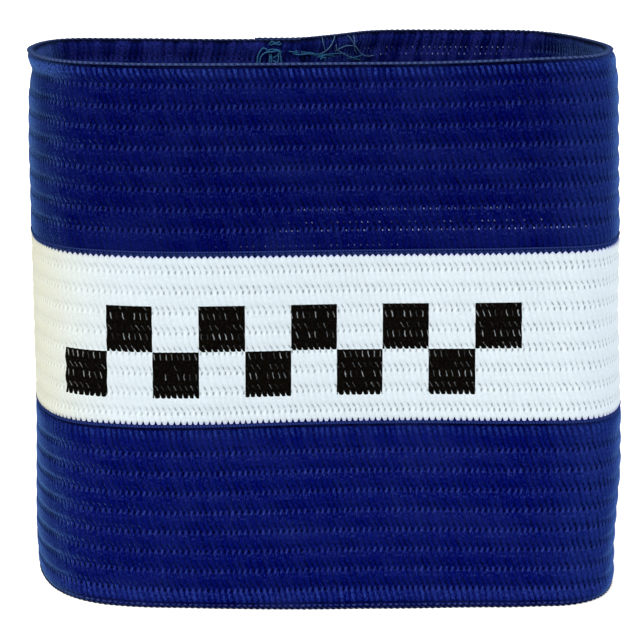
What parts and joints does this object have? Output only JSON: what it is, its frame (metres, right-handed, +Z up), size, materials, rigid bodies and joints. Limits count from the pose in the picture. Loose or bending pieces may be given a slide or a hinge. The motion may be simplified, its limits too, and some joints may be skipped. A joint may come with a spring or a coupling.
{
  "type": "elastic sports armband",
  "caption": "Standing loop of wide ribbed elastic with a white stripe between blue bands, lapped and sewn at the back, worn round the upper arm.",
  "frame": {"origin": "middle of the bounding box, on the ground under the lower edge", "axes": "+X along the long side of the loop, to the right seen from the front, +Y from the front wall to the back, +Z up through the arm hole"},
  "size_m": [0.0892, 0.052, 0.08],
  "materials": {
    "blue_elastic": "matte ribbed woven elastic, deep royal blue",
    "white_elastic": "matte ribbed woven elastic, cool white, with a plain black printed area on its front"
  },
  "bodies": {
    "root": {"lower_band": "blue_elastic", "centre_stripe": "white_elastic", "upper_band": "blue_elastic"}
  },
  "joints": []
}
